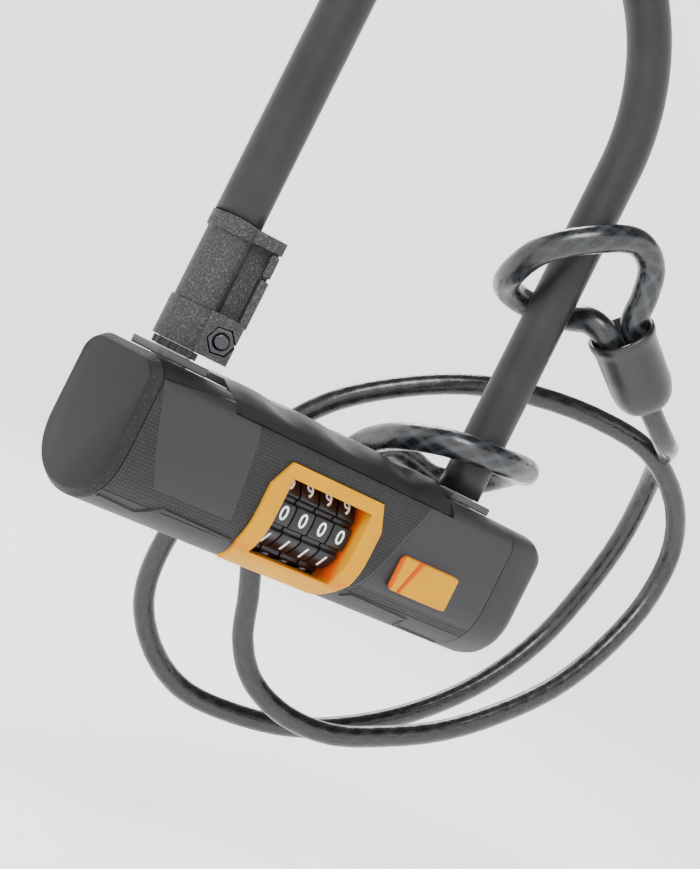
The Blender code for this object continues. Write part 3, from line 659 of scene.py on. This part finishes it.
def releaseButton(b, across=84, down=40):
    bm = bmesh.new()
    rows = []
    (x0, x1), (z0, z1), r = b["x"], b["z"], b["corner"]
    for j in range(down + 1):
        row = []
        for i in range(across + 1):
            x, z = x0 + (x1 - x0) * i / across, z0 + (z1 - z0) * j / down
            y = b["base"] - buttonRise(b, x, z)
            cx, cz = min(max(x, x0 + r), x1 - r), min(max(z, z0 + r), z1 - r)
            far = math.hypot(x - cx, z - cz)
            if x != cx and z != cz and far > r:
                x, z = cx + (x - cx) * r / far, cz + (z - cz) * r / far
            row.append(bm.verts.new((x * mm, y * mm, z * mm)))
        rows.append(row)
    for a, c in zip(rows, rows[1:]):
        for i in range(across):
            bm.faces.new((a[i], a[i + 1], c[i + 1], c[i]))
    rim = rows[0] + [row[-1] for row in rows[1:]] + rows[-1][-2::-1] + [row[0] for row in rows[-2:0:-1]]
    skirt = [bm.verts.new((v.co.x, b["base"] * mm + 0.05 * mm, v.co.z)) for v in rim]
    for i in range(len(rim)):
        j = (i + 1) % len(rim)
        bm.faces.new((rim[i], rim[j], skirt[j], skirt[i]))
    bmesh.ops.recalc_face_normals(bm, faces=bm.faces)
    me = bpy.data.meshes.new("button_face")
    bm.to_mesh(me)
    bm.free()
    me.shade_smooth()
    me.set_sharp_from_angle(angle=math.radians(50))
    o = build("button_face", me, "orange", "slider")
    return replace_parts(o, "release_button")


releaseButton(button)

belly = {"half": 22.0, "start": -36.0, "depth": 21.0, "power": 2.25, "width": 1.5, "rise": 0.5}
ridges = {
    "left": [(-81.5, -51.9), (-66.4, -52.7), (-59.3, -48.2), (-30.5, -49.0)],
    "right": [(25.5, -52.4), (28.5, -50.6), (57.8, -51.3), (59.7, -55.2), (83.5, -55.6)],
}


def onBelly(b, x, z):  # the front surface at a height, and the way it faces
    def depth(z):
        t = min(max((b["start"] - z) / b["depth"], 0), 1)
        return -b["half"] * (1 - t ** b["power"]) ** (1 / b["power"])
    slope = (depth(z + 0.05) - depth(z - 0.05)) / 0.1
    return Vector((x, depth(z), z)), Vector((0, -1, slope)).normalized()


def ridge(name, corners, b):
    points = []
    for (xa, za), (xc, zc) in zip(corners, corners[1:]):
        n = max(2, round(math.hypot(xc - xa, zc - za)))
        points += [onBelly(b, xa + (xc - xa) * i / n, za + (zc - za) * i / n) for i in range(n)]
    points.append(onBelly(b, *corners[-1]))
    bm = bmesh.new()
    rings = []
    for i, (p, out) in enumerate(points):
        ahead = (points[min(i + 1, len(points) - 1)][0] - points[max(i - 1, 0)][0]).normalized()
        side = out.cross(ahead).normalized()
        half = b["width"] / 2
        shape = ((-half, -0.3), (-half * 0.55, b["rise"]), (half * 0.55, b["rise"]), (half, -0.3))
        rings.append([bm.verts.new((p + side * s + out * h) * mm) for s, h in shape])
    for a, c in zip(rings, rings[1:]):
        for k in range(4):
            bm.faces.new((a[k], a[(k + 1) % 4], c[(k + 1) % 4], c[k]))
    bm.faces.new(list(reversed(rings[0])))
    bm.faces.new(rings[-1])
    bmesh.ops.recalc_face_normals(bm, faces=bm.faces)
    me = bpy.data.meshes.new(name)
    bm.to_mesh(me)
    bm.free()
    build(name, me, "cap", "crossbar")


for side, corners in ridges.items():
    ridge(f"belly_ridge_{side}", corners, belly)
print("crossbar and bracket made")


# Floor and light
studio = {
    "floor": -0.16, "reach": 6.0, "rings": 20, "sides": 96, "wall": 1.5, "shade": (0.95, 0.95, 0.95),
    "glow": 1.1, "sky": 0.2,
    "lamps": {"key": ((-0.5, -0.45, 0.75), 0.45, 10), "rim": ((0.3, 0.9, 0.8), 0.5, 9)},  # place, size, power
}


def lamp(name, place, aim, size, power):
    data = bpy.data.lights.new(name, "AREA")
    data.shape = "DISK"
    data.size = size
    data.energy = power
    o = bpy.data.objects.new(name, data)
    bpy.context.scene.collection.objects.link(o)
    o.location = place
    o.rotation_euler = (Vector(aim) - Vector(place)).to_track_quat("-Z", "Y").to_euler()


def makeStudio(s):
    last, n = s["rings"], s["sides"]
    turns = [2 * math.pi * i / n for i in range(n)]
    bm = bmesh.new()
    rings = []
    for k in range(last + 1):  # flat to half the reach, then a quarter circle, then a wall
        t = math.pi / 2 * min(max(k - 1, 0) / (last - 2), 1)
        far = s["reach"] * (0.5 + 0.5 * math.sin(t)) if k else 0.02
        high = s["reach"] * (0.5 - 0.5 * math.cos(t)) + (s["wall"] if k == last else 0)
        rings.append([bm.verts.new((far * math.cos(a), far * math.sin(a), high)) for a in turns])
    bm.faces.new(rings[0])
    for a, c in zip(rings, rings[1:]):
        for i in range(n):
            bm.faces.new((a[i], c[i], c[(i + 1) % n], a[(i + 1) % n])).smooth = True
    me = bpy.data.meshes.new("floor")
    bm.to_mesh(me)
    bm.free()
    floor = bpy.data.objects.new("floor", me)
    bpy.context.scene.collection.objects.link(floor)
    floor.location.z = s["floor"]
    pale = Finish("paleFloor", s["shade"], 0.7, Emission_Color=(1, 1, 1, 1), Emission_Strength=s["glow"])
    pale.set(Roughness=pale.noise(3) * 0.1 + 0.65)
    me.materials.append(pale.mat)
    world = bpy.data.worlds.new("studio")
    world.use_nodes = True
    world.node_tree.nodes["Background"].inputs[0].default_value = (1, 1, 1, 1)
    world.node_tree.nodes["Background"].inputs[1].default_value = s["sky"]
    bpy.context.scene.world = world
    for name, (place, size, power) in s["lamps"].items():
        lamp(name, place, (0, 0, 0), size, power)


makeStudio(studio)
print("studio made")
